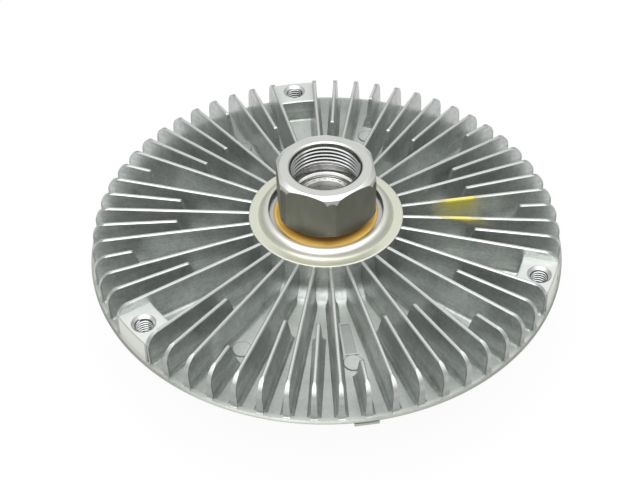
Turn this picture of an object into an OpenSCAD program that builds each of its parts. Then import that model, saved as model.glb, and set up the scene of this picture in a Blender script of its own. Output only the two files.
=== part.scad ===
// Viscous fan clutch. A finned housing carries the fan and turns on a sealed bearing round the input
// shaft, whose threaded nut end goes on the pump. Inside, a rotor with ring lands drives the housing
// through silicone fluid, and a strip of two metals opens the valve that lets the fluid in.
// Millimetres. The clutch stands on the fins of its cover, with the nut end up along +Z.

/* [Housing] */
// Diameter of the rim
flange_d = 162.8; // [162:0.2:170]
// Height of the edge of the rim
flange_edge = 1.8; // [1.6:0.1:2.6]
// Outer diameter of the skirt under the rim
skirt_d = 139; // [138:0.5:144]
// Wall of the skirt
skirt_t = 3.1; // [2.6:0.1:3.4]
// Thickness of the web under the fins
web_t = 4; // [3.4:0.1:5]
// Diameter of the hub round the bearing
hub_d = 52.8; // [51:0.2:55]
// Height of the face of the hub above the web
hub_h = 12; // [11.5:0.5:14]
// Fillet at the foot of the hub
hub_fillet = 7; // [4:0.5:9]
// Height of the lip that is rolled over the bearing
lip_h = 2.6; // [2:0.1:3]
// Diameter of the foot of that lip
lip_foot_d = 45.4; // [44:0.2:48]
// How far that lip reaches in over the bearing
lip_grip = 0.5; // [0.3:0.1:0.8]
// Length of the bare framed pad between two fins
pad_len = 14; // [10:0.5:15]
// Width of that pad at its outer end
pad_w = 5.2; // [4.4:0.2:6]
// Width of its raised frame
pad_frame = 0.7; // [0.5:0.1:1]

/* [Housing fins] */
// Thickness of a fin at its top
fin_top_t = 1.3; // [1:0.1:1.8]
// Thickness of a fin at its foot
fin_foot_t = 2.2; // [1.9:0.1:2.8]
// Radius of the fillet on each side of the foot
fin_fillet = 1.6; // [1:0.1:2]
// Depth of the fin tops below the face of the hub
fin_drop = 0.5; // [0.3:0.1:2]
// Ledge from the fin ends to the rim
fin_ledge = 1.3; // [1.1:0.1:1.5]
// Radius of the outer top corner of a fin
fin_corner = 5.5; // [4:0.5:9]
// Length of the short fins
short_fin_len = 29.6; // [24:0.2:34]
// Length of the stub fins
stub_fin_len = 13.6; // [10:0.2:16]
// How far the foot of a short or stub fin runs in under its top
fin_slant = 3; // [1:0.2:4]
// Rounding of its inner top corner
fin_nose = 1.3; // [0.8:0.1:1.8]

/* [Fan lugs] */
// Diameter of the circle of the three tapped holes
lug_pcd = 150; // [148:0.5:150.5]
// Depth of the lug faces below the face of the hub
lug_drop = 3.9; // [3.4:0.1:5]
// Diameter of the inner edge of the lugs
lug_inner_d = 136; // [132:1:138]
// Rounding of the inner edge of the lug faces
lug_edge = 0.9; // [0.5:0.1:1.4]
// Thread diameter of the tapped holes
tap_d = 6; // [5:0.5:6]
// Depth of the tapped holes
tap_depth = 8.4; // [7:0.2:9]
// Countersink diameter of the tapped holes
tap_mouth_d = 8; // [7.6:0.1:9]

/* [Bearing] */
// Bore of the inner ring
bearing_bore_d = 17; // [16:0.5:17.5]
// Outer diameter of the bearing
bearing_d = 40; // [39:0.5:41]
// Width of the bearing
bearing_w = 12; // [11:0.5:12]
// Height of the bearing above the face of the hub
bearing_rise = 0.7; // [0.5:0.1:1]
// Diameter of a ball
ball_d = 6.75; // [6:0.05:7]
// Number of balls
ball_n = 8; // [6:1:9]
// Thickness of the cage
cage_t = 2.4; // [2:0.1:2.8]
// Thickness of the back of the cage
cage_back = 0.7; // [0.5:0.1:0.9]

/* [Input shaft] */
// Width of the hexagon across its flats
hex_af = 32; // [31:0.5:34]
// Turned diameter over the corners of the hexagon
hex_corner_d = 35.3; // [34.6:0.1:36.4]
// Height of the hexagon
hex_h = 17.7; // [17:0.1:22]
// Diameter of the neck under the hexagon
neck_d = 23.6; // [20:0.2:24]
// Height of the neck above the bearing
neck_h = 2.7; // [2.4:0.1:6]
// Thread diameter of the nut end
thread_d = 24; // [22:0.5:24.5]
// Length of the thread
thread_len = 8.7; // [7:0.1:9]
// Chamfer at the mouth of the thread
bore_mouth = 0.5; // [0.3:0.1:0.9]
// Depth of the whole bore
bore_depth = 14; // [13.5:0.5:15]
// Diameter of the end that carries the rotor
spigot_d = 15; // [13:0.5:15.5]

/* [Rotor] */
// Diameter of the rotor
rotor_d = 124; // [122:0.5:126]
// Thickness of the disc of the rotor
rotor_t = 3.5; // [3.2:0.1:4.5]
// Height of the ring lands
land_h = 4.4; // [3:0.1:6]
// Thickness of the ring lands
land_t = 1.6; // [1.2:0.1:1.8]
// Step from land to land
land_pitch = 4.8; // [4.4:0.1:5]
// Number of lands on each side
land_n = 5; // [3:1:5]
// Width of the pumping channel at its edge
channel_w = 11.5; // [11:0.1:12]
// Depth of that channel
channel_h = 1.6; // [1.2:0.1:2]

/* [Separator plate] */
// Diameter of the plate
plate_d = 120; // [118:0.5:121]
// Thickness of the plate
plate_t = 1; // [0.8:0.1:1.5]
// Diameter of the supply port
port_d = 5; // [3:0.5:6]
// Distance of the supply port from the axis
port_x = 26; // [22:0.5:32]
// Diameter of the return hole
return_d = 3; // [2:0.5:4]
// Shank diameter of the rivets
rivet_d = 2.4; // [2:0.1:2.8]
// Depth of the rivets in the cover
rivet_len = 3; // [2.4:0.1:3.2]

/* [Cover] */
// Height of the fins of the cover
cover_fin_h = 9.5; // [8.5:0.5:14]
// Thickness of the fins of the cover at their tips
cover_fin_t = 1.6; // [1.2:0.1:2.4]
// Number of fins on the cover
cover_fin_n = 30; // [20:1:36]
// Thickness of the cover
cover_t = 4; // [3.6:0.1:5]
// Diameter of the fluid reservoir
reservoir_d = 108; // [104:1:110]
// Height of the fluid reservoir
reservoir_h = 4.4; // [4.2:0.1:6]
// Height of the rim of the cover
rim_h = 6; // [5.4:0.1:6.4]
// Thickness of the cord of the seal ring
seal_cord = 1.6; // [1.2:0.1:1.8]

/* [Valve] */
// Diameter of the switch pin
pin_d = 4; // [3:0.2:4.4]
// Outer diameter of the guide bush
bush_d = 9; // [8.4:0.2:10]
// Thickness of the valve lever
lever_t = 0.5; // [0.4:0.05:0.6]
// Width of the valve lever
lever_w = 9; // [8:0.5:11]
// Distance of the lever rivet from the axis
lever_root = 22; // [20:0.5:26]
// Length of the strip of two metals
strip_len = 46; // [42:1:50]
// Width of the strip
strip_w = 12; // [8:0.5:14]
// Thickness of the strip
strip_t = 1; // [0.6:0.1:1.2]
// Rise of the cold strip towards the pin
strip_rise = 2.2; // [1.8:0.1:2.4]

/* [Clearances] */
// Gap between pieces that are fitted together
fit_gap = 0.02; // [0.01:0.01:0.04]
// Gap between pieces that slide or turn on each other
slide_gap = 0.06; // [0.04:0.01:0.08]
// Gap between the rotor and what stands still round it
run_gap = 0.6; // [0.5:0.1:0.8]

/* [Hidden] */
$fn = 96;

// Heights, from the tips of the cover fins up
cover_out = cover_fin_h;
cover_in = cover_out + cover_t;
plate_z = cover_in + reservoir_h;
plate_top = plate_z + plate_t;
rotor_z = plate_top + run_gap;
rotor_web = rotor_z + rotor_t;
land_tip = rotor_web + land_h;
web_in = land_tip + run_gap;
floor_z = web_in + web_t;
hub_z = floor_z + hub_h;
lip_z = hub_z + lip_h;
fin_z = hub_z - fin_drop;
lug_z = hub_z - lug_drop;
bearing_top = hub_z + bearing_rise;
bearing_z = bearing_top - bearing_w;
hex_z = bearing_top + neck_h;
nut_top = hex_z + hex_h;
flange_z = floor_z - flange_edge;
rim_z = cover_in + 2.5;
rim_top = rim_z + rim_h;

// Radii
flange_r = flange_d / 2;
skirt_r = skirt_d / 2;
seat_r = skirt_r - skirt_t;
rim_r = seat_r - slide_gap;
hub_r = hub_d / 2;
bearing_r = bearing_d / 2;
pitch_r = (bearing_bore_d + bearing_d) / 4;
inner_ring_r = pitch_r - 0.3 * ball_d;
outer_ring_r = pitch_r + 0.36 * ball_d;
seal_seat_r = outer_ring_r + 1.1;
rotor_r = rotor_d / 2;
chamber_r = rotor_r + run_gap + 0.4;
channel_r = rotor_r - channel_w;
plate_r = plate_d / 2;
reservoir_r = reservoir_d / 2;
rivet_ring_r = (reservoir_r + plate_r) / 2;
fin_end_r = flange_r - fin_ledge;
end_fillet = 0.75 * fin_ledge;
fin_half_w = fin_foot_t / 2 + 2 * fin_fillet;
short_r = fin_end_r - short_fin_len;
stub_r = fin_end_r - stub_fin_len;
pad_end_r = short_r + 4.7;

// The skirt is rolled in under the rim of the cover
roll_t = 1.2;
roll_r = 4.2;
roll_in_r = rim_r - 3.5;

// Fins stand every 6 degrees: a long one at every second place, and between them the repeat of a lug,
// short fins and stub fins
fin_step = 12;
first_lug = 90;
lug_step = 10 * fin_step;
shaft_turn = -2.3;
function is_lug(k) = k % 10 == 0;
function is_stub(k) = k % 10 % 3 == 2;

// Valve heights
lever_gap = 0.45;
lever_z = plate_z - lever_gap - lever_t;
pin_top = lever_z - 0.12;
strip_z = 3.5;
strip_top = strip_z + strip_rise + strip_t;
pin_low = strip_top + 0.08;
boss_z = cover_out - 1.9;
boss_top = cover_in + 1.7;
bush_r = bush_d / 2;
pin_r = pin_d / 2;
pin_cord = bush_r + fit_gap - pin_r - 2 * slide_gap;
cord_z = boss_z + 0.8;
bush_z = cord_z + pin_cord + 0.1;
post_x = strip_len / 2 - 2;
strip_flat = 5;

function arc(x, y, r, a, b, n) = [for (i = [0:n]) [x + r * cos(a + (b - a) * i / n), y + r * sin(a + (b - a) * i / n)]];

module ring(r0, r1, z0, z1) {
    rotate_extrude()
        translate([r0, z0])
            square([r1 - r0, z1 - z0]);
}

module round_ring(r, z, d) {
    rotate_extrude()
        translate([r, z])
            circle(d = d, $fn = 48);
}

// A fin along +X: a bar with the given cross-section, cut to the given side outline
module fin(section, outline) {
    intersection() {
        rotate([90, 0, 90])
            linear_extrude(flange_r)
                polygon(section);
        translate([0, fin_half_w, 0])
            rotate([90, 0, 0])
                linear_extrude(2 * fin_half_w)
                    polygon(outline);
    }
}

function both_sides(half) = concat(half, [for (i = [len(half) - 1:-1:0]) [-half[i][0], half[i][1]]]);

// Cross-sections of a drafted housing fin and of the fillets at its foot
fin_section = both_sides([
    [fin_foot_t / 2 + 0.1, floor_z - 0.6],
    [fin_top_t / 2, fin_z - 0.35],
    [fin_top_t / 2 - 0.35, fin_z]
]);
foot_section = both_sides(concat(
    [[fin_foot_t / 2 + fin_fillet * 0.65 + 0.8, floor_z - 0.5]],
    arc(fin_foot_t / 2 + fin_fillet, floor_z + fin_fillet, fin_fillet, 245, 180, 4),
    [[fin_foot_t / 2 - 0.5, floor_z + fin_fillet + 0.4]]
));

// Side outline of a fin that starts at radius r0, with its outer corner rounded and a fillet at its foot
function fin_side(r0, slant, nose) = concat(
    [[r0 - slant, floor_z - 1], [fin_end_r + 0.65 * end_fillet, floor_z - 1]],
    arc(fin_end_r + end_fillet, floor_z + end_fillet, end_fillet, 245, 185, 3),
    arc(fin_end_r - fin_corner, fin_z + 0.04 - fin_corner, fin_corner, 0, 90, 7),
    [[r0 + nose, fin_z + 0.04], [r0 + 0.3 * nose, fin_z - 0.3 * nose], [r0, fin_z - nose]]
);

// Side outline of its fillets, which run out ahead of its outer end
function foot_side(r0, slant) = [
    [r0 - slant - 0.1, floor_z - 0.9],
    [fin_end_r - 0.3, floor_z - 0.9],
    [fin_end_r - 1.5, floor_z + 2 * fin_fillet],
    [r0 - slant * (1 - 2 * fin_fillet / hub_h), floor_z + 2 * fin_fillet]
];

module fins(angles, r0, slant, nose) {
    for (a = angles)
        rotate([0, 0, a]) {
            fin(fin_section, fin_side(r0, slant, nose));
            fin(foot_section, foot_side(r0, slant));
        }
}

// A fan lug fills the space between two long fins, flush with their ends, with a drafted wall behind it
module lug(a) {
    rotate([0, 0, a - fin_step / 2])
        rotate_extrude(angle = fin_step)
            polygon([
                [lug_inner_d / 2 - 1.5, floor_z - 0.6],
                [fin_end_r + 0.35, floor_z - 0.6],
                [fin_end_r, lug_z - 0.3],
                [fin_end_r - 0.3, lug_z],
                [lug_inner_d / 2 + lug_edge, lug_z],
                [lug_inner_d / 2 + 0.3 * lug_edge, lug_z - 0.3 * lug_edge],
                [lug_inner_d / 2, lug_z - lug_edge],
                [lug_inner_d / 2 - 0.6, floor_z + 0.9],
                [lug_inner_d / 2 - 0.9, floor_z + 0.3],
                [lug_inner_d / 2 - 1.5, floor_z - 0.1]
            ]);
}

// Outline of the pad, narrower towards the hub, with its edge moved in
module pad_outline(inset) {
    far = pad_end_r - inset;
    near = pad_end_r - pad_len + inset;
    polygon([
        [near, -pad_w * 0.4 + inset],
        [far, -pad_w / 2 + inset],
        [far, pad_w / 2 - inset],
        [near, pad_w * 0.4 - inset]
    ]);
}

module finned_housing() {
    color("silver")
    difference() {
        union() {
            rotate_extrude()
                polygon(concat(
                    [[roll_in_r, rim_z - roll_t]],
                    arc(skirt_r - roll_r, rim_z - roll_t + roll_r, roll_r, -90, 0, 6),
                    [
                        [skirt_r, flange_z - 2],
                        [skirt_r + 2, flange_z],
                        [flange_r - flange_edge / 2, flange_z],
                        [flange_r, flange_z + flange_edge / 2],
                        [flange_r, floor_z - flange_edge / 3],
                        [flange_r - flange_edge / 3, floor_z]
                    ],
                    arc(hub_r + 0.4 + hub_fillet, floor_z + hub_fillet, hub_fillet, 270, 180, 6),
                    [
                        [hub_r, hub_z - 0.24],
                        [hub_r - 0.4, hub_z],
                        [lip_foot_d / 2 + 0.5, hub_z]
                    ],
                    arc(lip_foot_d / 2 - lip_h, hub_z, lip_h, 12, 90, 6),
                    [
                        [bearing_r - lip_grip + 0.2, lip_z],
                        [bearing_r - lip_grip, lip_z - 0.2],
                        [bearing_r - lip_grip, bearing_top + slide_gap],
                        [bearing_r + slide_gap, bearing_top + slide_gap],
                        [bearing_r + slide_gap, bearing_z - slide_gap],
                        [outer_ring_r, bearing_z - slide_gap],
                        [outer_ring_r, web_in],
                        [chamber_r, web_in],
                        [chamber_r, rim_top],
                        [seat_r, rim_top],
                        [seat_r, rim_z],
                        [roll_in_r, rim_z]
                    ]
                ));
            fins([for (k = [0:29]) first_lug + fin_step * (k + 0.5)], hub_r - 2.5, 0.3, 0.1);
            fins([for (k = [0:29]) if (!is_lug(k) && !is_stub(k)) first_lug + fin_step * k],
                 short_r, fin_slant, fin_nose);
            fins([for (k = [0:29]) if (!is_lug(k) && is_stub(k)) first_lug + fin_step * k],
                 stub_r, fin_slant, fin_nose);
            for (k = [0:2])
                lug(first_lug + lug_step * k);
            // lands inside that mesh with the lands of the rotor
            for (i = [0:land_n - 1])
                ring(rotor_r - (i + 0.5) * land_pitch - land_t, rotor_r - (i + 0.5) * land_pitch,
                     rotor_web + run_gap, web_in + 0.5);
            // marks of the ejector pins on the web
            for (k = [0:29])
                if (!is_lug(k) && is_stub(k))
                    rotate([0, 0, first_lug + fin_step * k - 0.8])
                        translate([stub_r - 8.3, 0, floor_z - 0.5])
                            cylinder(d = 6.4, h = 0.8);
            // bare framed pad where a casting carries its marks
            rotate([0, 0, first_lug + 179])
                difference() {
                    translate([0, 0, floor_z - 0.5])
                        linear_extrude(1)
                            pad_outline(0);
                    translate([0, 0, floor_z + 0.2])
                        linear_extrude(1)
                            pad_outline(pad_frame);
                }
            // remnant of the casting gate on the rim
            rotate([0, 0, first_lug + 179.4])
                translate([flange_r - 3, -3.9, flange_z - 0.2])
                    cube([3.3, 7.8, 0.85]);
        }
        for (k = [0:2])
            rotate([0, 0, first_lug + lug_step * k])
                translate([lug_pcd / 2, 0, lug_z]) {
                    translate([0, 0, -tap_depth])
                        cylinder(d = tap_d, h = tap_depth + 1);
                    translate([0, 0, -(tap_mouth_d - tap_d) / 2])
                        cylinder(d1 = tap_d, d2 = tap_mouth_d + 2, h = (tap_mouth_d - tap_d) / 2 + 1);
                }
    }
}

// Cross-section of a drafted cover fin
cover_fin_section = [
    [-cover_fin_t / 2, 0],
    [cover_fin_t / 2, 0],
    [cover_fin_t / 2 + 0.55, cover_out + 0.6],
    [cover_fin_t / 2 + 0.55, rim_z],
    [-cover_fin_t / 2 - 0.55, rim_z],
    [-cover_fin_t / 2 - 0.55, cover_out + 0.6]
];

// Side outline of a cover fin, which follows the cone of the cover out to its rim
cover_fin_side = [
    [strip_len / 2 + 4, cover_out + 1],
    [strip_len / 2 + 4, 1.5],
    [strip_len / 2 + 5.5, 0],
    [reservoir_r - 7.5, 0],
    [reservoir_r - 6, 0.6],
    [roll_in_r - 1.2, rim_z - 2.2],
    [roll_in_r - 2.2, rim_z - 1.2],
    [reservoir_r, cover_out + 1]
];

module front_cover() {
    color("lightgray")
    difference() {
        union() {
            rotate_extrude()
                polygon([
                    [pin_r + 0.3, boss_z],
                    [bush_r + 3, boss_z],
                    [bush_r + 4, cover_out],
                    [reservoir_r, cover_out],
                    [roll_in_r - 0.4, rim_z],
                    [rim_r, rim_z],
                    [rim_r, rim_top - 1.6 - seal_cord],
                    [seat_r - seal_cord - fit_gap, rim_top - 1.6 - seal_cord],
                    [seat_r - seal_cord - fit_gap, rim_top - 1.2],
                    [rim_r, rim_top - 1.2],
                    [rim_r, rim_top],
                    [chamber_r, rim_top],
                    [chamber_r, plate_top],
                    [plate_r + slide_gap, plate_top],
                    [plate_r + slide_gap, plate_z],
                    [reservoir_r, plate_z],
                    [reservoir_r - 1, cover_in],
                    [bush_r + 3.5, cover_in],
                    [bush_r + 2.5, boss_top],
                    [bush_r + fit_gap, boss_top],
                    [bush_r + fit_gap, cord_z],
                    [pin_r + 0.3, cord_z]
                ]);
            for (k = [0:cover_fin_n - 1])
                rotate([0, 0, (k + 0.5) * 360 / cover_fin_n])
                    fin(cover_fin_section, cover_fin_side);
            // posts that hold the ends of the strip
            for (s = [-1, 1])
                translate([s * post_x - 3, -strip_w / 2 - 2.5, 1.8])
                    cube([6, strip_w + 5, cover_out - 1.3]);
        }
        for (s = [-1, 1])
            translate([s * (post_x - 0.5) - 2.5, -strip_w / 2 - 0.1, strip_z - 0.1])
                cube([5, strip_w + 0.2, strip_t + 0.2]);
        rivet_places(rivet_ring_r)
            translate([0, 0, plate_z - rivet_len - 0.2])
                cylinder(d = rivet_d + 2 * fit_gap, h = rivet_len + plate_t + 1);
        wiper_places()
            translate([0, 0, plate_z - rivet_len - 0.2])
                cylinder(d = rivet_d + 2 * fit_gap, h = rivet_len + plate_t + 1);
    }
}

module cover_seal_ring() {
    color("black")
        round_ring(seat_r - seal_cord / 2 - fit_gap / 2, rim_top - 1.4 - seal_cord / 2, seal_cord - fit_gap);
}

module rivet_places(r) {
    for (k = [0:5])
        rotate([0, 0, 30 + 60 * k])
            translate([r, 0, 0])
                children();
}

module wiper_places() {
    for (a = [56, 64])
        rotate([0, 0, a])
            translate([rivet_ring_r, 0, 0])
                children();
}

module separator_plate() {
    color("gray")
    difference() {
        translate([0, 0, plate_z])
            cylinder(r = plate_r, h = plate_t);
        rivet_places(rivet_ring_r)
            translate([0, 0, plate_z - 1])
                cylinder(d = rivet_d + 2 * fit_gap, h = plate_t + 2);
        wiper_places()
            translate([0, 0, plate_z - 1])
                cylinder(d = rivet_d + 2 * fit_gap, h = plate_t + 2);
        translate([port_x, 0, plate_z - 1])
            cylinder(d = port_d, h = plate_t + 2);
        translate([-lever_root, 0, plate_z - 1])
            cylinder(d = rivet_d + 2 * fit_gap, h = plate_t + 2);
        // return hole ahead of the wiper
        rotate([0, 0, 48])
            translate([reservoir_r - return_d / 2 - 1, 0, plate_z - 1])
                cylinder(d = return_d, h = plate_t + 2);
    }
}

module plate_rivets() {
    color("silver")
        rivet_places(rivet_ring_r) {
            translate([0, 0, plate_z - rivet_len])
                cylinder(d = rivet_d, h = rivet_len + plate_t);
            translate([0, 0, plate_top])
                cylinder(d1 = rivet_d * 1.75, d2 = rivet_d * 1.33, h = 0.4);
        }
}

module pump_wiper() {
    color("dimgray")
    difference() {
        rotate([0, 0, 52])
            rotate_extrude(angle = 16)
                translate([channel_r + 1.2, plate_top])
                    square([plate_r - channel_r - 2, channel_h + run_gap - 0.4]);
        wiper_places()
            translate([0, 0, plate_z])
                cylinder(d = rivet_d + 2 * fit_gap, h = 2 * plate_t + channel_h + run_gap);
    }
}

module wiper_rivets() {
    color("silver")
        wiper_places()
            translate([0, 0, plate_z - rivet_len])
                cylinder(d = rivet_d, h = rivet_len + plate_t + channel_h + run_gap - 0.4);
}

module lever_rivet() {
    color("silver")
        translate([-lever_root, 0, 0]) {
            translate([0, 0, lever_z - 0.4])
                cylinder(d = rivet_d, h = plate_top - lever_z + 0.4);
            translate([0, 0, lever_z - 1])
                cylinder(d1 = rivet_d + 2.4, d2 = rivet_d + 3.2, h = 0.7);
        }
}

module bearing_outer_ring() {
    color("lightsteelblue")
    difference() {
        rotate_extrude()
            polygon([
                [outer_ring_r, bearing_z + 1.4],
                [seal_seat_r, bearing_z + 1.4],
                [seal_seat_r, bearing_z],
                [bearing_r - 0.5, bearing_z],
                [bearing_r, bearing_z + 0.5],
                [bearing_r, bearing_top - 0.5],
                [bearing_r - 0.5, bearing_top],
                [seal_seat_r, bearing_top],
                [seal_seat_r, bearing_top - 1.4],
                [outer_ring_r, bearing_top - 1.4]
            ]);
        round_ring(pitch_r, (bearing_z + bearing_top) / 2, ball_d + 2 * slide_gap);
    }
}

module bearing_inner_ring() {
    color("lightsteelblue")
    difference() {
        rotate_extrude()
            polygon([
                [bearing_bore_d / 2, bearing_z + 0.4],
                [bearing_bore_d / 2 + 0.4, bearing_z],
                [inner_ring_r, bearing_z],
                [inner_ring_r, bearing_top],
                [bearing_bore_d / 2 + 0.4, bearing_top],
                [bearing_bore_d / 2, bearing_top - 0.4]
            ]);
        round_ring(pitch_r, (bearing_z + bearing_top) / 2, ball_d + 2 * slide_gap);
    }
}

module bearing_balls() {
    color("white")
        for (k = [0:ball_n - 1])
            rotate([0, 0, 360 / ball_n * k])
                translate([pitch_r, 0, (bearing_z + bearing_top) / 2])
                    sphere(d = ball_d, $fn = 48);
}

module bearing_cage() {
    color("khaki")
    difference() {
        ring(pitch_r - cage_t / 2, pitch_r + cage_t / 2,
             (bearing_z + bearing_top - ball_d) / 2 - cage_back, (bearing_z + bearing_top + ball_d) / 2);
        for (k = [0:ball_n - 1])
            rotate([0, 0, 360 / ball_n * k])
                translate([pitch_r, 0, (bearing_z + bearing_top) / 2])
                    rotate([0, 90, 0])
                        cylinder(d = ball_d + 2 * slide_gap, h = 3 * cage_t, center = true);
    }
}

// Seal washer with a thicker rim in the outer ring and a lip on the inner ring
module bearing_seal() {
    rotate_extrude()
        polygon([
            [inner_ring_r + slide_gap, 0.25],
            [inner_ring_r + 0.9, -0.15],
            [seal_seat_r - 1.3, -0.15],
            [seal_seat_r - 0.9, -0.25],
            [seal_seat_r - fit_gap, -0.25],
            [seal_seat_r - fit_gap, 1.1],
            [seal_seat_r - 1, 1.1],
            [seal_seat_r - 1.5, 0.8],
            [inner_ring_r + 1.4, 0.8],
            [inner_ring_r + slide_gap, 1]
        ]);
}

module rear_bearing_seal() {
    color("orange")
        translate([0, 0, bearing_top - 1.1])
            bearing_seal();
}

module front_bearing_seal() {
    color("orange")
        translate([0, 0, bearing_z + 1.1])
            mirror([0, 0, 1])
                bearing_seal();
}

module input_shaft() {
    color("gray")
    difference() {
        union() {
            intersection() {
                rotate([0, 0, 30 + shaft_turn])
                    translate([0, 0, hex_z])
                        cylinder(d = hex_af / cos(30), h = hex_h, $fn = 6);
                rotate_extrude()
                    polygon([
                        [0, hex_z],
                        [hex_corner_d / 2 - 1.85, hex_z],
                        [hex_corner_d / 2, hex_z + 1.7],
                        [hex_corner_d / 2, nut_top - 2.8],
                        [hex_corner_d / 2 - 0.65, nut_top - (hex_corner_d - hex_af - 0.1) / 2 * tan(30)],
                        [hex_af / 2 - 0.6, nut_top],
                        [0, nut_top]
                    ]);
            }
            rotate_extrude()
                polygon([
                    [0, rotor_z + 0.1],
                    [spigot_d / 2 + 0.6, rotor_z + 0.1],
                    [spigot_d / 2 + 1, rotor_z + 0.6],
                    [spigot_d / 2 + 1, rotor_z + 1.4],
                    [spigot_d / 2, rotor_z + 1.4],
                    [spigot_d / 2, bearing_z],
                    [bearing_bore_d / 2 - fit_gap, bearing_z + 0.4],
                    [bearing_bore_d / 2 - fit_gap, bearing_top],
                    [neck_d / 2, bearing_top],
                    [neck_d / 2, hex_z + 0.5],
                    [0, hex_z + 0.5]
                ]);
        }
        // threaded bore, with a relief and a stepped blind end
        rotate_extrude()
            polygon([
                [0, nut_top + 1],
                [thread_d / 2 + bore_mouth, nut_top + 1],
                [thread_d / 2 + bore_mouth, nut_top],
                [thread_d / 2, nut_top - bore_mouth],
                [thread_d / 2, nut_top - bore_mouth - thread_len],
                [thread_d / 2 - 0.5, nut_top - bore_mouth - thread_len],
                [thread_d / 2 - 0.5, nut_top - bore_depth + 1.4],
                [thread_d / 2 - 2.3, nut_top - bore_depth + 1],
                [thread_d / 2 - 2.3, nut_top - bore_depth + 0.3],
                [thread_d / 2 - 3.5, nut_top - bore_depth],
                [1.6, nut_top - bore_depth],
                [0, nut_top - bore_depth - 1]
            ]);
    }
}

module drive_rotor() {
    color("gainsboro")
    difference() {
        union() {
            rotate_extrude()
                polygon([
                    [spigot_d / 2 + fit_gap, rotor_z + 1.4 + fit_gap],
                    [spigot_d / 2 + 1.4, rotor_z + 1.4 + fit_gap],
                    [spigot_d / 2 + 1.4, rotor_z],
                    [channel_r, rotor_z],
                    [channel_r, rotor_z + channel_h],
                    [rotor_r, rotor_z + channel_h],
                    [rotor_r, rotor_web],
                    [inner_ring_r + 1, rotor_web],
                    [inner_ring_r - 0.4, rotor_web + 1.4],
                    [inner_ring_r - 0.4, bearing_z],
                    [spigot_d / 2 + fit_gap, bearing_z]
                ]);
            for (i = [0:land_n - 1])
                ring(rotor_r - i * land_pitch - land_t, rotor_r - i * land_pitch, rotor_web - 0.5, land_tip);
        }
        // holes that let the fluid through to the lands
        for (k = [0:5])
            rotate([0, 0, 60 * k])
                translate([port_x + 5, 0, rotor_z - 1])
                    cylinder(d = 6, h = rotor_t + 2);
    }
}

module pin_guide_bush() {
    color("goldenrod")
        ring(pin_r + slide_gap, bush_r, bush_z, boss_top);
}

module pin_seal() {
    color("black")
        round_ring(pin_r + slide_gap + pin_cord / 2, cord_z + pin_cord / 2 + 0.05, pin_cord);
}

module switch_pin() {
    color("silver")
        rotate_extrude()
            polygon([
                [0, pin_low],
                [pin_r - 0.8, pin_low],
                [pin_r, pin_low + 0.8],
                [pin_r, pin_top - 1],
                [pin_r - 1, pin_top],
                [0, pin_top]
            ]);
}

module valve_lever() {
    color("slategray")
    difference() {
        union() {
            translate([-lever_root, 0, lever_z])
                cylinder(d = lever_w, h = lever_t);
            translate([port_x, 0, lever_z])
                cylinder(d = lever_w, h = lever_t);
            translate([-lever_root, -lever_w / 2, lever_z])
                cube([lever_root + port_x, lever_w, lever_t]);
            // pad that closes the supply port
            translate([port_x, 0, lever_z + lever_t])
                cylinder(d = port_d + 1.6, h = lever_gap - 0.1);
        }
        translate([-lever_root, 0, lever_z - 1])
            cylinder(d = rivet_d + 0.8, h = lever_t + 2);
    }
}

// Rise of the strip along its length: flat at its ends, and arched towards the pin between them
function strip_rise_at(x) = abs(x) > strip_len / 2 - strip_flat ? 0
    : strip_rise * (1 + cos(180 * x / (strip_len / 2 - strip_flat))) / 2;
strip_x = concat([-strip_len / 2], [for (i = [-8:8]) i / 8 * (strip_len / 2 - strip_flat)], [strip_len / 2]);

module bimetal_strip() {
    color("darkgoldenrod")
        translate([0, strip_w / 2, 0])
            rotate([90, 0, 0])
                linear_extrude(strip_w)
                    polygon(concat(
                        [for (x = strip_x) [x, strip_z + strip_rise_at(x)]],
                        [for (i = [len(strip_x) - 1:-1:0]) [strip_x[i], strip_z + strip_t + strip_rise_at(strip_x[i])]]
                    ));
}

finned_housing();
front_cover();
cover_seal_ring();
separator_plate();
plate_rivets();
pump_wiper();
wiper_rivets();
lever_rivet();
bearing_outer_ring();
rear_bearing_seal();
front_bearing_seal();
bimetal_strip();
pin_guide_bush();
pin_seal();
input_shaft();
bearing_inner_ring();
drive_rotor();
bearing_balls();
bearing_cage();
switch_pin();
valve_lever();
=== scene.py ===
import math

import bpy
from mathutils import Matrix


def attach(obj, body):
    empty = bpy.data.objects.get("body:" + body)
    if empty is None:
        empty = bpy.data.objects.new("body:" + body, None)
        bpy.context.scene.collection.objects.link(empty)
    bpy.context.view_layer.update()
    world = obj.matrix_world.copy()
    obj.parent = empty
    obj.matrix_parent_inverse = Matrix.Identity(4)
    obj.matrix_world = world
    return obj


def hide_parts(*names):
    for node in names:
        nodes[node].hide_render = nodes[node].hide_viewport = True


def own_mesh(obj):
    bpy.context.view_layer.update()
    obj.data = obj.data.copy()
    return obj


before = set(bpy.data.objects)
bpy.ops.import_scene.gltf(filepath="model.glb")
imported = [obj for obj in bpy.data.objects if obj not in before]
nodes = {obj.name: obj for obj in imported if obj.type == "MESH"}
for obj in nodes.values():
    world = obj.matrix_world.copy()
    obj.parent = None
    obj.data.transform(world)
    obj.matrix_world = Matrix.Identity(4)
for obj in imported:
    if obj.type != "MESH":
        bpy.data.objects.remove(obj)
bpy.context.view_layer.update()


# Finned housing: one aluminium die casting. Its skin is satin and a little mottled, the fin tops
# are rubbed bright and painted lighter as a highlight, the hub face is turned, and the lip inside
# it is rolled over the bearing.
# A dab of yellow paint lies over two of the fins.

WELD_DISTANCE = 2e-6
SAME_PLANE = math.radians(0.6)
SMOOTH_UP_TO = math.radians(32)

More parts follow.
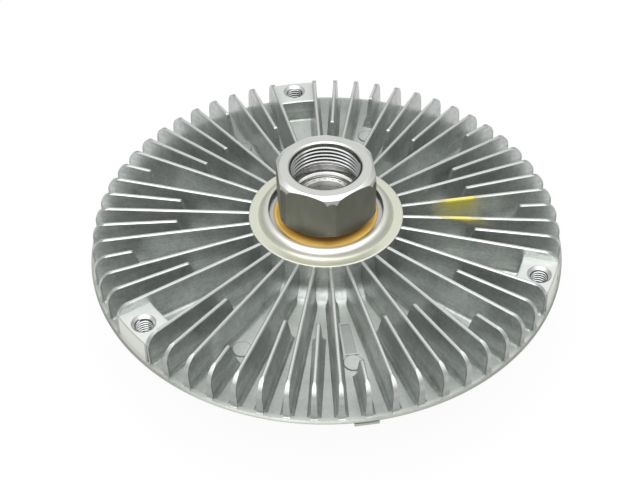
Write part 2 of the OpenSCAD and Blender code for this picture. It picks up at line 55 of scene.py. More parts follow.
FLOOR_Z = 0.032
WEB_LIT_R = 0.058
WEB_SHADED_R = 0.077
FIN_Z = 0.0435
FIN_END_R = 0.0801
FIN_CORNER = 0.0055
RIM_R = 0.0814
HUB_Z = 0.044
HUB_R = 0.0264
LIP_R = 0.0227
BEARING_R = 0.02
LUG_COUNT = 3
LUG_R = 0.075
LUG_Z = 0.0401
LUG_IN_R = 0.0665
LUG_HALF_WIDTH = 0.0072
TAP_MOUTH_R = 0.004
MARK_TURNS = (113.2, 149.2, 185.2)
MARK_PLACE_R = 0.0582
MARK_R = 0.0032
PAD_TURN = math.radians(-91)
PAD_NEAR = 0.0412
PAD_FAR = 0.0552
PAD_SLOPE = 0.049
PAD_FRAME = 0.0007
PAD_MIDDLE_SLOPE = 0.034
PAINT_R = 0.0462
PAINT_TURN = math.radians(-5.95)
PAINT_HALF_TURN = math.radians(6.8)
PAINT_EDGE_TURN = math.radians(6.95)
PAINT_RAGGED = 0.012

CAST_DARK = (0.38, 0.40, 0.385, 1)
CAST_LIGHT = (0.66, 0.68, 0.66, 1)
# stains in the cast skin; also the painted shade round the mouths of the countersinks
CAST_STAIN_AND_SHADE = (0.16, 0.17, 0.16, 1)
CAST_RELIEF = 0.25
# painted light and shade on the web between the fins
WEB_LIT_GREY = (0.72, 0.74, 0.72, 1)
WEB_SHADED_GREY = (0.46, 0.48, 0.465, 1)
# fin tops and the round of their corners: rubbed, and painted lighter as a highlight
FIN_TOP_WORN_AND_LIT = (0.72, 0.73, 0.72, 1)
FIN_BEND_WORN_AND_LIT = (0.52, 0.53, 0.52, 1)
# painted shade on the outer end faces of the fins
FIN_END_SHADE_GREY = (0.26, 0.27, 0.26, 1)
# painted light on the ledge outside the fins, painted shade on the edge of the rim
LEDGE_LIT_GREY = (0.64, 0.65, 0.60, 1)
RIM_SHADE_GREY = (0.42, 0.43, 0.38, 1)
MILLED_DARK = (0.76, 0.78, 0.76, 1)
MILLED_LIGHT = (0.88, 0.90, 0.88, 1)
LUG_WALL_GREY = (0.72, 0.73, 0.67, 1)
SINK_GREY = (0.72, 0.73, 0.72, 1)
# painted shade in the edges of the ejector marks
MARK_EDGE_SHADE = (0.12, 0.13, 0.12, 1)
PAD_PALE = (0.74, 0.75, 0.74, 1)
PAD_DARK = (0.28, 0.29, 0.28, 1)
HUB_DARK = (0.75, 0.75, 0.63, 1)
HUB_LIGHT = (0.83, 0.83, 0.71, 1)
LIP_GREY = (0.75, 0.75, 0.68, 1)
# painted shade inside the lip, down to the bearing
BEHIND_LIP_SHADE = (0.05, 0.05, 0.05, 1)
PAINT_THIN = (0.48, 0.44, 0.05, 1)
PAINT_THICK = (0.86, 0.74, 0.13, 1)


def fresh(name):
    """A new material, with its tree and its shader."""
    made = bpy.data.materials.new(name)
    made.use_nodes = True
    return made, made.node_tree, made.node_tree.nodes["Principled BSDF"]


def feed(tree, node, values):
    """Gives a node its inputs: a value that is a socket is linked, and any other is set."""
    for key, value in dict(values).items():
        if isinstance(value, bpy.types.NodeSocket):
            tree.links.new(value, node.inputs[key])
        else:
            node.inputs[key].default_value = value


def put(tree, kind, values=(), **settings):
    """Adds a node with its settings and inputs."""
    made = tree.nodes.new(kind)
    for key, value in settings.items():
        setattr(made, key, value)
    feed(tree, made, values)
    return made


def math_of(tree, operation, *values):
    return put(tree, "ShaderNodeMath", enumerate(values), operation=operation).outputs[0]


def times(tree, product, *factors):
    """The product of two or more values."""
    for factor in factors:
        product = math_of(tree, "MULTIPLY", product, factor)
    return product


def minus(tree, first, second):
    return math_of(tree, "SUBTRACT", first, second)


def absolute(tree, value):
    return math_of(tree, "ABSOLUTE", value)


def larger(tree, first, second):
    return math_of(tree, "MAXIMUM", first, second)


def distance(tree, first, second):
    """The length of the way that goes by two values at a right angle."""
    return math_of(tree, "SQRT", math_of(tree, "MULTIPLY_ADD", first, first, times(tree, second, second)))


def between(tree, value, low, high, start=0.0, end=1.0):
    """The start value up to low, the end value from high on, and a ramp between them."""
    ramp = {"Value": value, "From Min": low, "From Max": high, "To Min": start, "To Max": end}
    return put(tree, "ShaderNodeMapRange", ramp).outputs["Result"]


def band(tree, value, low, high, soft=0.0001):
    """1 from low to high, with soft edges."""
    return times(tree, between(tree, value, low - soft, low), between(tree, value, high + soft, high))


def mixed(tree, share, first, second):
    """Two colours, mixed by a share."""
    return put(tree, "ShaderNodeMix", {0: share, 6: first, 7: second}, data_type="RGBA").outputs[2]


def level(tree, share, first, second):
    """Two values, mixed by a share."""
    return put(tree, "ShaderNodeMix", {0: share, 2: first, 3: second}, data_type="FLOAT").outputs[0]


def varied(tree, noise, middle, width):
    """A value that noise moves to both sides of its middle."""
    return math_of(tree, "MULTIPLY_ADD", noise, width, middle - width / 2)


def parts_of(tree, vector):
    return put(tree, "ShaderNodeSeparateXYZ", {0: vector}).outputs


def stretched(tree, place, ways):
    return put(tree, "ShaderNodeVectorMath", {0: place, 1: ways}, operation="MULTIPLY").outputs[0]


def place_on(tree):
    """The place on the piece, in the frame of the clutch."""
    return put(tree, "ShaderNodeTexCoord").outputs["Object"]


def radius_at(tree, place):
    """The distance from the axis of the clutch."""
    flat = stretched(tree, place, (1, 1, 0))
    return put(tree, "ShaderNodeVectorMath", {0: flat}, operation="LENGTH").outputs["Value"]


def facing_up(tree):
    """1 where the surface faces up, -1 where it faces down."""
    return parts_of(tree, put(tree, "ShaderNodeNewGeometry").outputs["Normal"])["Z"]


def along_ray(tree, radius, angle, turn, repeat):
    """Place along and across a ray from the axis, for rays that repeat round it."""
    away = math_of(tree, "WRAP", minus(tree, angle, turn), repeat / 2, -repeat / 2)
    along = times(tree, radius, math_of(tree, "COSINE", away))
    return along, times(tree, radius, math_of(tree, "SINE", away))


def speckle(tree, place, scale, detail=3.0):
    """Noise at a number of spots for each metre."""
    noise = {"Vector": place, "Scale": scale, "Detail": detail, "Roughness": 0.6}
    return put(tree, "ShaderNodeTexNoise", noise).outputs["Fac"]


def tool_rings(tree, radius, count, detail=3.0):
    """Noise that changes with the radius alone, at a number of rings for each metre."""
    noise = {"W": times(tree, radius, count), "Scale": 1.0, "Detail": detail}
    return put(tree, "ShaderNodeTexNoise", noise, noise_dimensions="1D").outputs["Fac"]


def relief(tree, strength, height):
    """A fine relief, at most a tenth of a millimetre deep."""
    bump = {"Strength": strength, "Distance": 0.0001, "Height": height}
    return put(tree, "ShaderNodeBump", bump).outputs[0]


def cast_skin(tree, place, height, radius):
    """Colour, roughness and grain of a die casting, with the drag lines that the die leaves on the fins."""
    cloud = speckle(tree, place, 90, 5)
    fleck = speckle(tree, place, 900, 4)
    pulled = put(tree, "ShaderNodeCombineXYZ", {"X": radius, "Y": times(tree, height, 14)}).outputs[0]
    drag = speckle(tree, pulled, 110, 3)
    share = math_of(tree, "MULTIPLY_ADD", fleck, 0.3, times(tree, cloud, 0.4))
    share = math_of(tree, "MULTIPLY_ADD", drag, 0.3, share)
    colour = mixed(tree, between(tree, share, 0.38, 0.62), CAST_DARK, CAST_LIGHT)
    stain = between(tree, speckle(tree, place, 150, 6), 0.57, 0.70)
    colour = mixed(tree, times(tree, stain, 0.35), colour, CAST_STAIN_AND_SHADE)
    rough = between(tree, share, 0.3, 0.7, 0.40, 0.27)
    grain = math_of(tree, "ADD", speckle(tree, place, 2600, 2), times(tree, cloud, 0.8))
    return colour, rough, grain


def cast_housing():
    made, tree, shader = fresh("cast_housing")
    place = place_on(tree)
    parts = parts_of(tree, place)
    height = parts["Z"]
    radius = radius_at(tree, place)
    angle = math_of(tree, "ARCTAN2", parts["Y"], parts["X"])
    up = facing_up(tree)
    flat = between(tree, up, 0.85, 0.95)
    colour, rough, grain = cast_skin(tree, place, height, radius)

    # web between the fins, brighter towards the hub: painted light near the hub and painted shade out where
    # the fins crowd it
    web = band(tree, height, FLOOR_Z - 0.0002, FLOOR_Z + 0.0005)
    web_light_and_shade = mixed(tree, between(tree, radius, WEB_LIT_R, WEB_SHADED_R), WEB_LIT_GREY, WEB_SHADED_GREY)
    colour = mixed(tree, times(tree, web, flat, 0.5), colour, web_light_and_shade)

    # outer end faces of the fins, painted darker as shade
    outer = between(tree, radius, FIN_END_R - 0.0008, FIN_END_R - 0.0004)
    shaded_ends = times(tree, outer, between(tree, up, 0.6, 0.4))
    colour = mixed(tree, times(tree, shaded_ends, 0.6), colour, FIN_END_SHADE_GREY)

    # fin tops, rubbed smooth out to the round of their outer corners, and painted lighter there as a
    # highlight
    outside = between(tree, radius, HUB_R, HUB_R + 0.0004)
    run = larger(tree, minus(tree, radius, FIN_END_R - FIN_CORNER), 0.0)
    climb = larger(tree, minus(tree, height, FIN_Z - FIN_CORNER), 0.0)
    reach = between(tree, distance(tree, run, climb), FIN_CORNER - 0.0004, FIN_CORNER - 0.0001)
    top = times(tree, reach, outside, between(tree, climb, 0.0005, 0.0025))
    bend = between(tree, run, 0.0, 0.002)
    colour = mixed(tree, top, colour, mixed(tree, bend, FIN_TOP_WORN_AND_LIT, FIN_BEND_WORN_AND_LIT))
    rough = level(tree, top, rough, level(tree, bend, 0.26, 0.40))

    # ledge outside the fins, painted lighter where it faces up, and edge of the rim, painted darker: painted
    # light and painted shade
    ledge = times(tree, between(tree, radius, FIN_END_R - 0.0008, FIN_END_R), between(tree, up, 0.7, 0.9))
    colour = mixed(tree, times(tree, ledge, 0.7), colour, LEDGE_LIT_GREY)
    rim_shade = between(tree, radius, RIM_R - 0.0005, RIM_R - 0.0002)
    colour = mixed(tree, times(tree, rim_shade, 0.85), colour, RIM_SHADE_GREY)

    # faces of the lugs, milled flat
    milled = band(tree, height, LUG_Z - 0.0002, LUG_Z + 0.0002)
    milled = times(tree, milled, between(tree, radius, LUG_IN_R, LUG_IN_R + 0.0002), flat)
    fresh_cut = mixed(tree, speckle(tree, place, 500), MILLED_DARK, MILLED_LIGHT)
    colour = mixed(tree, milled, colour, fresh_cut)

    # outer walls of the lugs, cleaner than the fins beside them
    along, aside = along_ray(tree, radius, angle, math.pi / 2, math.tau / LUG_COUNT)
    wall = band(tree, radius, FIN_END_R - 0.0004, FIN_END_R + 0.0005, 0.0002)
    clean = times(tree, between(tree, absolute(tree, aside), LUG_HALF_WIDTH + 0.0004, LUG_HALF_WIDTH), wall)
    colour = mixed(tree, times(tree, clean, 0.85), colour, LUG_WALL_GREY)

    # countersinks of the lugs, with a painted line of shade round their mouths
    hole = distance(tree, minus(tree, along, LUG_R), aside)
    low = between(tree, height, LUG_Z - 0.0015, LUG_Z - 0.0012)
    sink = times(tree, between(tree, hole, TAP_MOUTH_R, TAP_MOUTH_R - 0.0001), low)
    colour = mixed(tree, sink, colour, SINK_GREY)
    rough = level(tree, sink, rough, 0.3)
    sink_mouth_shade = times(tree, band(tree, hole, TAP_MOUTH_R - 0.0002, TAP_MOUTH_R + 0.0001), low)
    colour = mixed(tree, times(tree, sink_mouth_shade, 0.2), colour, CAST_STAIN_AND_SHADE)

    # marks of the ejector pins on the web, with painted shade in their edges
    for turn in MARK_TURNS:
        along, aside = along_ray(tree, radius, angle, math.radians(turn), math.tau / LUG_COUNT)
        mark = distance(tree, minus(tree, along, MARK_PLACE_R), aside)
        ring = times(tree, band(tree, mark, MARK_R - 0.0001, MARK_R + 0.0001, 0.0002), web)
        colour = mixed(tree, times(tree, ring, 0.6), colour, MARK_EDGE_SHADE)

    # framed pad on the web: bare, with a rougher and darker middle
    along, aside = along_ray(tree, radius, angle, PAD_TURN, math.tau)
    slope = absolute(tree, math_of(tree, "DIVIDE", aside, radius))
    whole = band(tree, along, PAD_NEAR, PAD_FAR)
    whole = times(tree, between(tree, slope, PAD_SLOPE + 0.003, PAD_SLOPE), whole, web)
    colour = mixed(tree, times(tree, whole, 0.4), colour, PAD_PALE)
    middle = band(tree, along, PAD_NEAR + PAD_FRAME, PAD_FAR - PAD_FRAME)
    middle = times(tree, between(tree, slope, PAD_MIDDLE_SLOPE + 0.002, PAD_MIDDLE_SLOPE), middle, web)
    colour = mixed(tree, times(tree, middle, 0.45), colour, PAD_DARK)
    rough = level(tree, middle, rough, 0.5)

    # turned hub face, with the fine rings of the tool
    inside = minus(tree, 1.0, outside)
    face = times(tree, between(tree, height, HUB_Z - 0.0002, HUB_Z - 0.0001), inside)
    colour = mixed(tree, face, colour, mixed(tree, tool_rings(tree, radius, 9000, 2.0), HUB_DARK, HUB_LIGHT))
    rough = level(tree, face, rough, 0.34)
    grain = times(tree, grain, minus(tree, 1.0, face))

    # lip, rolled smooth over the bearing; inside its inner edge the housing is painted near black as shade
    rolled = times(tree, face, between(tree, radius, LIP_R, LIP_R - 0.0002))
    colour = mixed(tree, rolled, colour, LIP_GREY)
    # painted shade: near black inside the inner edge of the lip, down to the bearing
    colour = mixed(tree, between(tree, radius, BEARING_R - 0.0003, BEARING_R - 0.0005), colour, BEHIND_LIP_SHADE)

    # dab of yellow paint over two fins and what is between them, thickest on the fin tops
    ragged = math_of(tree, "ADD", radius, varied(tree, speckle(tree, place, 260, 4), 0.0, PAINT_RAGGED))
    along = absolute(tree, minus(tree, ragged, PAINT_R))
    across = absolute(tree, minus(tree, angle, PAINT_TURN))
    within = between(tree, across, PAINT_EDGE_TURN, PAINT_HALF_TURN)
    thick = between(tree, height, FIN_Z - 0.0012, FIN_Z - 0.0004)
    thick = times(tree, between(tree, along, 0.0062, 0.0036), thick)
    thin = between(tree, height, FLOOR_Z, FIN_Z - 0.002)
    thin = times(tree, between(tree, along, 0.0110, 0.0030), thin)
    thin = times(tree, thin, varied(tree, speckle(tree, place, 600, 3), 0.9, 0.6))
    dab = times(tree, within, larger(tree, thick, thin))
    colour = mixed(tree, dab, colour, mixed(tree, thick, PAINT_THIN, PAINT_THICK))

    feed(tree, shader, {
        "Base Color": colour,
        "Metallic": level(tree, dab, 0.85, 0.05),
        "Roughness": level(tree, dab, rough, 0.5),
        "Normal": relief(tree, CAST_RELIEF, grain),
    })
    return made


def select_only(piece):
    bpy.ops.object.select_all(action="DESELECT")
    piece.select_set(True)
    bpy.context.view_layer.objects.active = piece


def welded(name, node):
    """The CAD node as one welded mesh, smooth but for its sharp edges."""
    piece = bpy.data.objects.new(name, nodes[node].data.copy())
    bpy.context.collection.objects.link(piece)
    select_only(piece)
    piece.data.materials.clear()
    bpy.ops.object.mode_set(mode="EDIT")
    bpy.ops.mesh.select_all(action="SELECT")
    bpy.ops.mesh.customdata_custom_splitnormals_clear()
    bpy.ops.mesh.remove_doubles(threshold=WELD_DISTANCE)
    bpy.ops.mesh.dissolve_limited(angle_limit=SAME_PLANE)
    bpy.ops.mesh.normals_make_consistent(inside=False)
    bpy.ops.object.mode_set(mode="OBJECT")
    bpy.ops.object.shade_smooth_by_angle(angle=SMOOTH_UP_TO)
    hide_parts(node)
    return piece


def flat_faces(piece):
    """Keeps the large faces flat where they run into small ones."""
    weighted = piece.modifiers.new("Flat faces", "WEIGHTED_NORMAL")
    weighted.keep_sharp = True
    bpy.ops.object.modifier_apply(modifier=weighted.name)


housing = welded("housing_casting", "finned_housing")
flat_faces(housing)
housing.data.materials.append(cast_housing())
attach(housing, "housing")


# Threads in the three fan lugs: M6, cut into the aluminium of the casting with a tap, for the screws
# that hold the fan. Their roots are painted near black as shade.

TAP_R = 0.003
TAP_TOP = 0.0389
TAP_PITCH = 0.001
TAP_DEPTH = 0.006
TAP_HEIGHT = 0.00055
TAP_BITE = 0.00004
TAP_STEPS = 28
RIGHT_HAND = 1
LEFT_HAND = -1
RIDGE_FOOT = 0.47
RIDGE_FLANK = 0.27
RIDGE_TOP = 0.08
RIDGE_SMOOTH_UP_TO = math.radians(30)


def thread(name, wall, crest, pitch, length, top, hand, steps):
    """A thread that stands in from a bore: a ridge, swept down along a helix.

    The faces near the wall are the root, and take the second material.
    """
    middle = (wall + crest) / 2
    ridge = [(wall, RIDGE_FOOT), (middle, RIDGE_FLANK), (crest, RIDGE_TOP), (crest, -RIDGE_TOP),
             (wall, -RIDGE_FOOT)]
    bpy.ops.object.select_all(action="DESELECT")
    bpy.ops.mesh.primitive_circle_add(vertices=len(ridge), radius=wall, fill_type="NOTHING")
    made = bpy.context.object
    made.name = name
    for corner, (reach, rise) in zip(made.data.vertices, ridge):
        corner.co = (reach, 0, rise * pitch)
    screw = made.modifiers.new("Helix", "SCREW")
    screw.axis = "Z"
    screw.angle = hand * math.tau * length / pitch
    screw.screw_offset = -length
    screw.steps = round(steps * length / pitch)
    screw.render_steps = screw.steps
    screw.use_merge_vertices = False
    bpy.ops.object.modifier_apply(modifier=screw.name)
    for face in made.data.polygons:
        face.material_index = int(math.hypot(face.center.x, face.center.y) > middle)
    bpy.ops.object.mode_set(mode="EDIT")
    bpy.ops.mesh.select_all(action="SELECT")
    bpy.ops.mesh.fill_holes(sides=len(ridge))
    bpy.ops.mesh.select_all(action="SELECT")
    bpy.ops.transform.translate(value=(0, 0, top))
    bpy.ops.mesh.normals_make_consistent(inside=False)
    bpy.ops.object.mode_set(mode="OBJECT")
    bpy.ops.object.shade_smooth_by_angle(angle=RIDGE_SMOOTH_UP_TO)
    return made


def cut_metal(name, dark, light, rough):
    """Metal cut by a tool, with its fine lines."""
    made, tree, shader = fresh(name)
    lines = speckle(tree, stretched(tree, place_on(tree), (1, 1, 8)), 1500, 2)
    feed(tree, shader, {
        "Base Color": mixed(tree, lines, dark, light),
        "Metallic": 0.9,
        "Roughness": varied(tree, lines, rough, 0.1),
    })
    return made


tap_metal = cut_metal("cut_aluminium", (0.46, 0.47, 0.47, 1), (0.68, 0.69, 0.69, 1), 0.25)
# roots of the threads: painted shade, near black
thread_root_shade = cut_metal("thread_root_shade", (0.03, 0.03, 0.03, 1), (0.07, 0.07, 0.065, 1), 0.45)
lug_threads = [thread("lug_thread_1", TAP_R + TAP_BITE, TAP_R - TAP_HEIGHT, TAP_PITCH, TAP_DEPTH,
                      TAP_TOP, RIGHT_HAND, TAP_STEPS)]
bpy.ops.object.mode_set(mode="EDIT")
bpy.ops.mesh.select_all(action="SELECT")
bpy.ops.transform.translate(value=(0, LUG_R, 0))
bpy.ops.object.mode_set(mode="OBJECT")
for number in range(2, LUG_COUNT + 1):
    bpy.ops.object.duplicate(linked=False)
    turned_on = bpy.context.object
    turned_on.name = f"lug_thread_{number}"
    bpy.ops.object.mode_set(mode="EDIT")
    bpy.ops.mesh.select_all(action="SELECT")
    bpy.ops.transform.rotate(value=-math.tau / LUG_COUNT, orient_axis="Z", center_override=(0, 0, 0))
    bpy.ops.object.mode_set(mode="OBJECT")
    lug_threads.append(turned_on)
for ridge in lug_threads:
    ridge.data.materials.append(tap_metal)
    ridge.data.materials.append(thread_root_shade)
    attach(ridge, "housing")


# Bearing: ground steel rings, polished balls in a moulded cage, and on each side an orange rubber
# seal. It is pressed into the housing and onto the shaft. The rear seal is what shows as an orange
# ring under the hexagon.

RING_EDGE = 0.00012
SEAL_EDGE = 0.0001
BROKEN_FROM = math.radians(28)
# painted shadow of the hexagon on the rear seal: dark brown inside these radii
SEAL_SHADOW_IN_R = 0.0142
SEAL_SHADOW_OUT_R = 0.0166
SEAL_SHADOW_BROWN = (0.20, 0.09, 0.015, 1)


def ground_metal(name, dark, light, rough):
    """Ground or turned metal, with fine rings round the axis."""
    made, tree, shader = fresh(name)
    place = place_on(tree)
    rings = tool_rings(tree, radius_at(tree, place), 7000)
    feed(tree, shader, {
        "Base Color": mixed(tree, rings, dark, light),
        "Metallic": 1.0,
        "Roughness": varied(tree, speckle(tree, place, 500), rough, 0.2),
    })
    return made


def moulded(name, dark, light, rough, shadow_radii=None):
    """Moulded rubber or plastic, a little uneven, with a painted shadow towards the inner of two radii."""
    made, tree, shader = fresh(name)
    place = place_on(tree)
    cloud = speckle(tree, place, 220, 4)
    colour = mixed(tree, between(tree, cloud, 0.3, 0.7), dark, light)
    if shadow_radii:
        inner, outer = shadow_radii
        shadowed = between(tree, radius_at(tree, place), outer, inner)
        colour = mixed(tree, times(tree, shadowed, 0.85), colour, SEAL_SHADOW_BROWN)
    feed(tree, shader, {
        "Base Color": colour,
        "Roughness": varied(tree, cloud, rough, 0.2),
        "Normal": relief(tree, 0.2, speckle(tree, place, 2500)),
    })
    return made


def broken_edges(name, node, width):
    """The CAD node as one welded mesh, with its sharp edges broken as on the real piece."""
    piece = welded(name, node)
    bevel = piece.modifiers.new("Broken edges", "BEVEL")
    bevel.width = width
    bevel.segments = 2
    bevel.limit_method = "ANGLE"
    bevel.angle_limit = BROKEN_FROM
    bevel.use_clamp_overlap = True
    bpy.ops.object.modifier_apply(modifier=bevel.name)
    flat_faces(piece)
    return piece


def finish_node(node, finish):
    """Gives a CAD node its material."""
    materials = nodes[node].data.materials
    materials.clear()
    materials.append(finish)


ring_steel = ground_metal("ground_steel", (0.56, 0.56, 0.56, 1), (0.72, 0.72, 0.72, 1), 0.3)
outer_ring = broken_edges("bearing_ring_outer", "bearing_outer_ring", RING_EDGE)
outer_ring.data.materials.append(ring_steel)
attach(outer_ring, "housing")
inner_ring = broken_edges("bearing_ring_inner", "bearing_inner_ring", RING_EDGE)
inner_ring.data.materials.append(ring_steel)
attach(inner_ring, "shaft")

# orange seal, with the shadow of the hexagon painted dark brown on its inner part
seal_rubber = moulded("orange_rubber", (0.80, 0.48, 0.08, 1), (0.92, 0.60, 0.15, 1), 0.4,
                      (SEAL_SHADOW_IN_R, SEAL_SHADOW_OUT_R))
rear_seal = broken_edges("seal_rear", "rear_bearing_seal", SEAL_EDGE)
rear_seal.data.materials.append(seal_rubber)
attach(rear_seal, "housing")
front_seal = broken_edges("seal_front", "front_bearing_seal", SEAL_EDGE)
front_seal.data.materials.append(seal_rubber)
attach(front_seal, "housing")

ball_steel = ground_metal("ball_steel", (0.6, 0.61, 0.62, 1), (0.7, 0.71, 0.72, 1), 0.15)
finish_node("bearing_balls", ball_steel)
cage_plastic = moulded("cage_plastic", (0.5, 0.42, 0.25, 1), (0.6, 0.52, 0.33, 1), 0.5)
finish_node("bearing_cage", cage_plastic)


# Input shaft: turned from hexagon bar. The flats keep the dark skin of the bar, and the turned faces
# are bright. The bore has a left-hand thread for the stub of the pump.

SHAFT_EDGE = 0.0001
THREAD_R = 0.012
THREAD_TOP = 0.0642
THREAD_PITCH = 0.0015
THREAD_LENGTH = 0.008
THREAD_HEIGHT = 0.0008
THREAD_BITE = 0.00006
THREAD_STEPS = 72
BORE_R = 0.0122
BORE_STEPS = ((0.0105, 0.0115), (0.0084, 0.0097))
BAR_DARK = (0.20, 0.20, 0.165, 1)
BAR_LIGHT = (0.25, 0.25, 0.21, 1)
TURNED_DARK = (0.72, 0.72, 0.69, 1)
TURNED_LIGHT = (0.84, 0.84, 0.81, 1)
# painted shade inside the bore
BORE_SHADE_DARK = (0.30, 0.30, 0.29, 1)
BORE_SHADE_LIGHT = (0.50, 0.50, 0.49, 1)
# painted highlight on the steps in the bore
BORE_STEP_HIGHLIGHT = (0.92, 0.92, 0.91, 1)


def shaft_steel():
    made, tree, shader = fresh("shaft_steel")
    place = place_on(tree)
    radius = radius_at(tree, place)
    turned = between(tree, absolute(tree, facing_up(tree)), 0.25, 0.4)
    bore = between(tree, radius, BORE_R, BORE_R - 0.0003)
    drawn = speckle(tree, stretched(tree, place, (1, 1, 0.3)), 420, 5)
    rings = tool_rings(tree, radius, 5000)
    flats = mixed(tree, between(tree, drawn, 0.25, 0.75), BAR_DARK, BAR_LIGHT)
    faces = mixed(tree, between(tree, rings, 0.3, 0.7), TURNED_DARK, TURNED_LIGHT)
    colour = mixed(tree, turned, flats, faces)
    # inside the bore: painted shade, darker than the turned faces
    colour = mixed(tree, bore, colour, mixed(tree, rings, BORE_SHADE_DARK, BORE_SHADE_LIGHT))
    # steps in the bore: painted highlight
    for inner, outer in BORE_STEPS:
        step_highlight = times(tree, band(tree, radius, inner, outer), turned)
        colour = mixed(tree, step_highlight, colour, BORE_STEP_HIGHLIGHT)
    rough = level(tree, turned, varied(tree, drawn, 0.48, 0.12), 0.3)
    feed(tree, shader, {
        "Base Color": colour,
        "Metallic": 0.95,
        "Roughness": level(tree, bore, rough, 0.18),
        "Normal": relief(tree, 0.12, drawn),
    })
    return made


shaft = broken_edges("shaft_hexagon", "input_shaft", SHAFT_EDGE)
shaft.data.materials.append(shaft_steel())
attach(shaft, "shaft")
pump_thread = thread("shaft_thread", THREAD_R + THREAD_BITE, THREAD_R - THREAD_HEIGHT, THREAD_PITCH,
                     THREAD_LENGTH, THREAD_TOP, LEFT_HAND, THREAD_STEPS)
thread_steel = cut_metal("cut_steel", (0.38, 0.385, 0.385, 1), (0.58, 0.585, 0.585, 1), 0.17)
pump_thread.data.materials.append(thread_steel)
# its roots take the near-black painted shade too
pump_thread.data.materials.append(thread_root_shade)
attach(pump_thread, "shaft")


# Rotor: a disc of turned aluminium, pressed on the end of the shaft. It turns in silicone fluid, and
# its ring lands run between those of the housing.

rotor_metal = ground_metal("turned_aluminium", (0.58, 0.59, 0.6, 1), (0.74, 0.75, 0.76, 1), 0.32)
finish_node("drive_rotor", rotor_metal)


# Front cover: an aluminium die casting like the housing, held by the skirt that is rolled in over its
# rim, with a cord seal between the two. The tips of its fins are rubbed where the clutch stands.

COVER_EDGE = 0.00008
TIP_BARE_Z = 0.0002
TIP_CAST_Z = 0.0006
TIP_GREY = (0.8, 0.81, 0.8, 1)


def cast_cover():
    made, tree, shader = fresh("cast_cover")
    place = place_on(tree)
    height = parts_of(tree, place)["Z"]
    colour, rough, grain = cast_skin(tree, place, height, radius_at(tree, place))
    tips = between(tree, height, TIP_CAST_Z, TIP_BARE_Z)
    feed(tree, shader, {
        "Base Color": mixed(tree, tips, colour, TIP_GREY),
        "Metallic": 0.8,
        "Roughness": rough,
        "Normal": relief(tree, CAST_RELIEF, grain),
    })
    return made


cover = broken_edges("cover_casting", "front_cover", COVER_EDGE)
cover.data.materials.append(cast_cover())
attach(cover, "housing")
black_rubber = moulded("black_rubber", (0.02, 0.02, 0.02, 1), (0.045, 0.045, 0.045, 1), 0.6)
finish_node("cover_seal_ring", black_rubber)


# Separator plate: rolled sheet steel, riveted to the cover. A small moulded wiper is riveted on
# through it, and sends the fluid back to the reservoir.

def rolled_sheet(name, dark, light):
    """Rolled sheet, with lines along the way it was rolled."""
    made, tree, shader = fresh(name)
    lines = speckle(tree, stretched(tree, place_on(tree), (0.06, 1, 1)), 1400, 3)
    feed(tree, shader, {
        "Base Color": mixed(tree, between(tree, lines, 0.3, 0.7), dark, light),
        "Metallic": 0.95,
        "Roughness": varied(tree, lines, 0.345, 0.25),
    })
    return made


sheet_steel = rolled_sheet("sheet_steel", (0.42, 0.43, 0.44, 1), (0.56, 0.57, 0.58, 1))
finish_node("separator_plate", sheet_steel)
rivet_metal = ground_metal("rivet_aluminium", (0.6, 0.6, 0.62, 1), (0.74, 0.74, 0.76, 1), 0.4)
finish_node("plate_rivets", rivet_metal)
finish_node("wiper_rivets", rivet_metal)
wiper_plastic = moulded("wiper_plastic", (0.05, 0.05, 0.05, 1), (0.1, 0.1, 0.1, 1), 0.45)
finish_node("pump_wiper", wiper_plastic)


# Valve: a spring steel lever over the supply port, a ground pin in a brass bush with a rubber seal,
# and outside the strip of two metals that pushes the pin and lets it out as the air gets hot.

STRIP_EDGE = 0.00012

finish_node("valve_lever", sheet_steel)
finish_node("lever_rivet", rivet_metal)
pin_steel = ground_metal("pin_steel", (0.55, 0.56, 0.57, 1), (0.7, 0.71, 0.72, 1), 0.25)
finish_node("switch_pin", pin_steel)
bush_brass = ground_metal("bush_brass", (0.52, 0.36, 0.12, 1), (0.72, 0.52, 0.2, 1), 0.3)
finish_node("pin_guide_bush", bush_brass)
finish_node("pin_seal", black_rubber)

strip = broken_edges("valve_strip", "bimetal_strip", STRIP_EDGE)
two_metals = rolled_sheet("bimetal", (0.42, 0.31, 0.17, 1), (0.6, 0.47, 0.28, 1))
strip.data.materials.append(two_metals)
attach(strip, "housing")
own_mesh(strip)


# Studio: a pale floor, a wide soft light overhead and a fill from the front, and the camera where the
# photograph was taken from.

STUDIO_FLOOR_SIZE = 40
STUDIO_FLOOR_Z = -0.0002
STUDIO_FLOOR_GREY = (0.88, 0.88, 0.88, 1)
WHITE_SHARE = 0.93
SKY_WHITE = (0.98, 1.0, 0.99, 1)
SKY_LOW = 0.33
SKY_RISE = 0.74
SKY_CURVE = 1.4

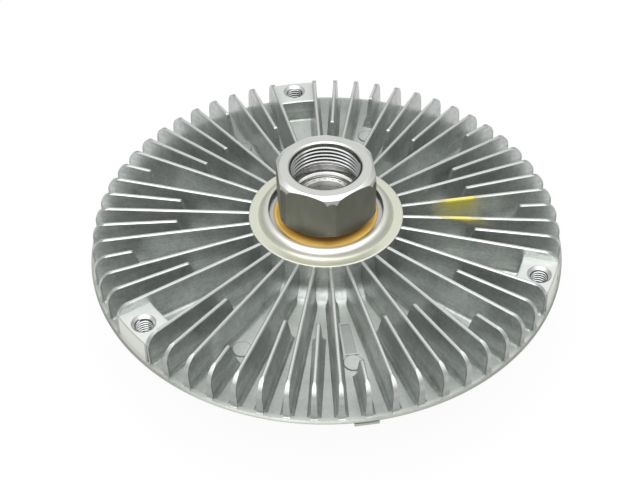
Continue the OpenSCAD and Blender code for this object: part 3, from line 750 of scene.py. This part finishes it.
bpy.ops.object.select_all(action="DESELECT")
bpy.ops.mesh.primitive_plane_add(size=STUDIO_FLOOR_SIZE, location=(0, 0, STUDIO_FLOOR_Z))
floor = bpy.context.object
floor.name = "studio_floor"
floor_paint, tree, shader = fresh("studio_floor")
feed(tree, shader, {"Base Color": STUDIO_FLOOR_GREY, "Roughness": 0.9, "Specular IOR Level": 0.1})
glow = put(tree, "ShaderNodeEmission", {"Color": (1, 1, 1, 1), "Strength": 1.0})
ray = put(tree, "ShaderNodeLightPath").outputs
white = times(tree, larger(tree, ray["Is Camera Ray"], ray["Is Glossy Ray"]), WHITE_SHARE)
both = put(tree, "ShaderNodeMixShader", {0: white, 1: shader.outputs[0], 2: glow.outputs[0]})
feed(tree, tree.nodes["Material Output"], {"Surface": both.outputs[0]})
floor.data.materials.append(floor_paint)

world = bpy.data.worlds.new("studio")
world.use_nodes = True
sky = world.node_tree
rise = parts_of(sky, put(sky, "ShaderNodeTexCoord").outputs["Generated"])["Z"]
above = math_of(sky, "POWER", larger(sky, rise, 0.0), SKY_CURVE)
strength = math_of(sky, "MULTIPLY_ADD", above, SKY_RISE, SKY_LOW)
feed(sky, sky.nodes["Background"], {"Color": SKY_WHITE, "Strength": strength})
bpy.context.scene.world = world


def softbox(name, place, aim, size, power):
    """A rectangular lamp that shines from its place towards its aim."""
    bpy.ops.object.light_add(type="AREA", location=place)
    lamp = bpy.context.object
    lamp.name = name
    lamp.data.shape = "RECTANGLE"
    lamp.data.size, lamp.data.size_y = size
    lamp.data.energy = power
    reach = [a - b for a, b in zip(aim, place)]
    flat = math.hypot(reach[0], reach[1])
    lamp.rotation_euler = (math.atan2(flat, -reach[2]), 0, math.atan2(reach[1], reach[0]) - math.pi / 2)


softbox("overhead", (0.0, -0.3, 1.0), (0, -0.3, 0), (1.6, 1.5), 8.2)
softbox("front", (-0.42, -0.55, 0.7), (0, 0, 0.03), (1.0, 0.7), 2.2)

CAMERA_TURN = math.radians(-9.03)
CAMERA_AWAY = 0.32476
CAMERA_HEIGHT = 0.33898
CAMERA_LENS = 72.07
CAMERA_SENSOR = 36
HEADING = Matrix.Rotation(math.radians(-8.65), 3, "Z")
PITCH = Matrix.Rotation(math.radians(46.527), 3, "X")
ROLL = Matrix.Rotation(math.radians(-0.795), 3, "Z")
camera_data = bpy.data.cameras.new("camera")
camera_data.sensor_width = CAMERA_SENSOR
camera_data.lens = CAMERA_LENS
camera = bpy.data.objects.new("camera", camera_data)
bpy.context.collection.objects.link(camera)
camera.location = (math.sin(CAMERA_TURN) * CAMERA_AWAY, -math.cos(CAMERA_TURN) * CAMERA_AWAY, CAMERA_HEIGHT)
camera.rotation_euler = (HEADING @ PITCH @ ROLL).to_euler()
bpy.context.scene.camera = camera
bpy.context.scene.view_settings.view_transform = "Standard"
